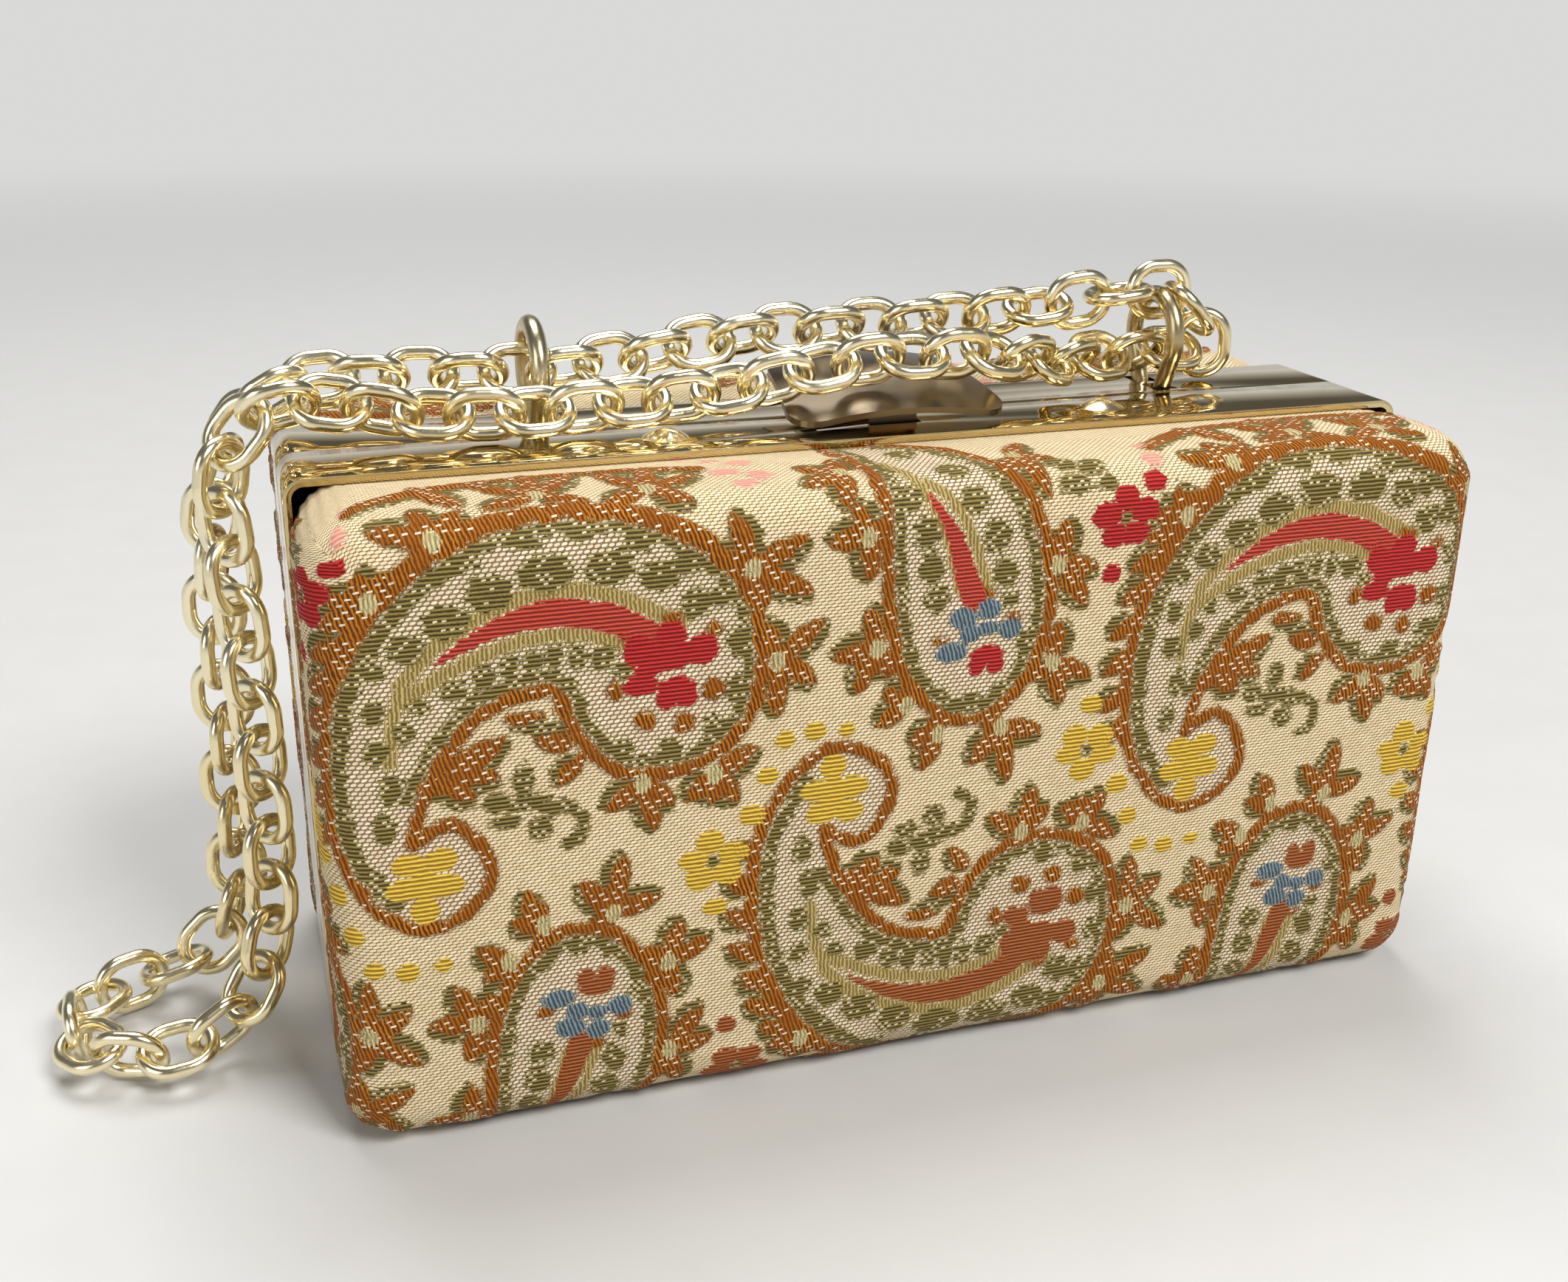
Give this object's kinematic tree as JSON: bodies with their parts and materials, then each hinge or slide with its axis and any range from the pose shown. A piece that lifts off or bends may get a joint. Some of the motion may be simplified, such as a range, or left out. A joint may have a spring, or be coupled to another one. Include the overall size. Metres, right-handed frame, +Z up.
{
  "type": "box purse",
  "caption": "Hard box purse with hinged metal-framed halves, padded paisley brocade panels, an arched lift clasp and a chain strap through upright rings.",
  "frame": {"origin": "on the table, at the middle of the seam between the two halves", "axes": "+X along the purse to the right as seen from the front, +Y to the back, +Z up"},
  "size_m": [0.226, 0.0816, 0.1175],
  "materials": {
    "frame_metal": "mirror-polished pale gold plate",
    "chain_metal": "bright polished gold plate",
    "satin_metal": "satin gold plate",
    "clasp_metal": "darker pewter-gold plate",
    "board": "stiff board",
    "brocade_ground": "cream satin-weave brocade ground",
    "lining": "satin lining",
    "thread_rust": "rust float threads",
    "thread_olive": "olive float threads",
    "thread_straw": "straw float threads",
    "thread_red": "red float threads",
    "thread_terracotta": "terracotta float threads",
    "thread_yellow": "yellow float threads",
    "thread_blue": "slate blue float threads"
  },
  "bodies": {
    "rear_half": {"rear_frame": "frame_metal", "rear_board": "board", "rear_cover": "brocade_ground", "rear_lining": "lining", "hinge_leaf_rear": "frame_metal", "hinge_pin": "satin_metal", "clasp_base": "clasp_metal", "clasp_pin": "satin_metal", "chain_ring_loop": "chain_metal", "chain_front_run": "chain_metal", "chain_left_drop": "chain_metal", "chain_table_pile": "chain_metal", "chain_left_rise": "chain_metal", "chain_back_run": "chain_metal", "rear_print_rust": "thread_rust", "rear_print_olive": "thread_olive", "rear_print_straw": "thread_straw", "rear_print_red": "thread_red", "rear_print_terracotta": "thread_terracotta", "rear_print_yellow": "thread_yellow", "rear_print_blue": "thread_blue"},
    "front_half": {"front_frame": "frame_metal", "front_board": "board", "front_cover": "brocade_ground", "front_lining": "lining", "hinge_leaf_front": "frame_metal", "catch_plate": "clasp_metal", "catch_rivets": "chain_metal", "front_print_rust": "thread_rust", "front_print_olive": "thread_olive", "front_print_straw": "thread_straw", "front_print_red": "thread_red", "front_print_terracotta": "thread_terracotta", "front_print_yellow": "thread_yellow", "front_print_blue": "thread_blue"},
    "clasp": {"clasp_lever": "clasp_metal", "clasp_hook": "clasp_metal"},
    "left_ring": {"ring_left": "satin_metal"},
    "right_ring": {"ring_right": "satin_metal"}
  },
  "joints": [
    {"name": "case_open", "type": "hinge", "parent": "rear_half", "child": "front_half", "pos_m": [0, 0, 0.0024], "axis": [1, 0, 0], "range_deg": [0, 75], "deforming": ["clasp_hook"]},
    {"name": "clasp_lift", "type": "hinge", "parent": "rear_half", "child": "clasp", "pos_m": [0.003, 0.01196, 0.10001], "axis": [-1, 0, 0], "range_deg": [0, 35], "deforming": ["clasp_hook", "chain_front_run", "chain_back_run"]},
    {"name": "ring_left_swing", "type": "hinge", "parent": "rear_half", "child": "left_ring", "pos_m": [-0.052, 0.008, 0.0954], "axis": [0, 1, 0], "range_deg": [-30, 30], "deforming": ["chain_back_run", "chain_front_run"]},
    {"name": "ring_right_swing", "type": "hinge", "parent": "rear_half", "child": "right_ring", "pos_m": [0.058, 0.008, 0.0954], "axis": [0, 1, 0], "range_deg": [-30, 30], "deforming": ["chain_ring_loop", "chain_back_run", "chain_front_run"]}
  ]
}
